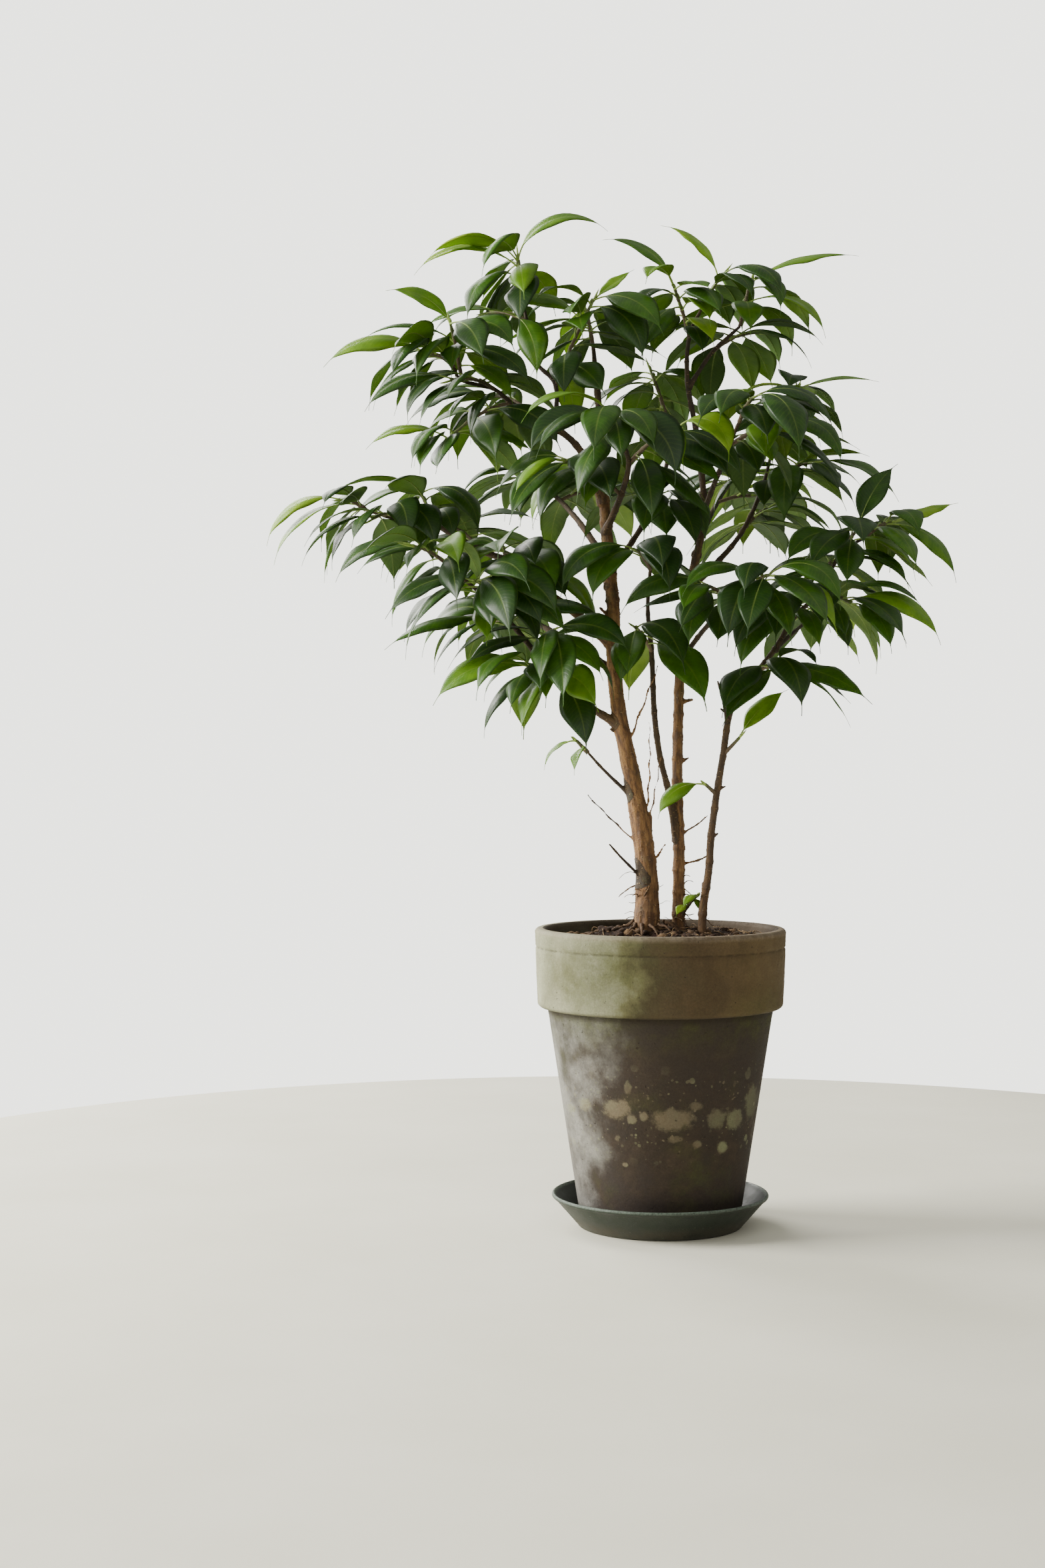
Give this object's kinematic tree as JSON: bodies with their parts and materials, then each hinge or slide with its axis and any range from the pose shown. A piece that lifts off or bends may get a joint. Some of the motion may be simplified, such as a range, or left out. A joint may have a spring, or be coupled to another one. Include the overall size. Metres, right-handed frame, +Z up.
{
  "type": "potted weeping fig",
  "caption": "Small weeping fig with slender stems and drooping drip-tipped leaves, growing in a weathered thick-collared terracotta pot on a flared plastic saucer.",
  "frame": {"origin": "middle of the saucer's flat underside", "axes": "+Z up along the pot's axis, -Y towards the front of the plant, +X to the right seen from the front"},
  "size_m": [0.4668, 0.3444, 0.6834],
  "materials": {
    "saucer_plastic": "satin",
    "terracotta": "weathered matte",
    "potting_soil": "matte",
    "bark": "matte",
    "foliage": "glossy"
  },
  "bodies": {
    "root": {"saucer": "saucer_plastic", "pot": "terracotta", "soil": "potting_soil", "trunk_left": "bark", "stem_centre": "bark", "stem_right": "bark", "shoot_far_left_end": "foliage", "shoot_far_left_front": "foliage", "shoot_far_left_back": "foliage", "shoot_left_front_end": "foliage", "shoot_left_back": "foliage", "shoot_left_mid_back": "foliage", "shoot_left_low_front": "foliage", "shoot_left_low_hang": "foliage", "shoot_left_lowest": "foliage", "shoot_left_low_inner": "foliage", "shoot_left_mid_front": "foliage", "shoot_dead_twig_leaf": "foliage", "shoot_upper_left_end": "foliage", "shoot_upper_left_top": "foliage", "shoot_upper_left_front": "foliage", "shoot_upper_left_low": "foliage", "shoot_upper_left_back": "foliage", "shoot_top_left": "foliage", "shoot_top_left_side": "foliage", "shoot_crown_left": "foliage", "shoot_trunk_top": "foliage", "shoot_front_end": "foliage", "shoot_front_left": "foliage", "shoot_front_right": "foliage", "shoot_inner_top": "foliage", "shoot_inner_front": "foliage", "shoot_fork_top": "foliage", "shoot_fork_low": "foliage", "shoot_crown_middle": "foliage", "shoot_crown_right": "foliage", "shoot_crown_right_end": "foliage", "shoot_crown_right_back": "foliage", "shoot_right_top": "foliage", "shoot_right_upper": "foliage", "shoot_right_upper_back": "foliage", "shoot_far_right_end": "foliage", "shoot_far_right_front": "foliage", "shoot_far_right_back": "foliage", "shoot_right_low_end": "foliage", "shoot_right_low_front": "foliage", "shoot_right_lowest": "foliage", "shoot_right_back": "foliage", "shoot_front_low": "foliage", "shoot_front_low_left": "foliage", "shoot_front_upper": "foliage", "shoot_front_upper_right": "foliage", "shoot_back_right": "foliage", "shoot_back_right_side": "foliage", "shoot_back_left": "foliage", "shoot_back_middle": "foliage", "shoot_back_low": "foliage", "sucker_shoot": "foliage", "shoot_stem_right_upper": "foliage", "shoot_stem_right_lower": "foliage"}
  },
  "joints": []
}
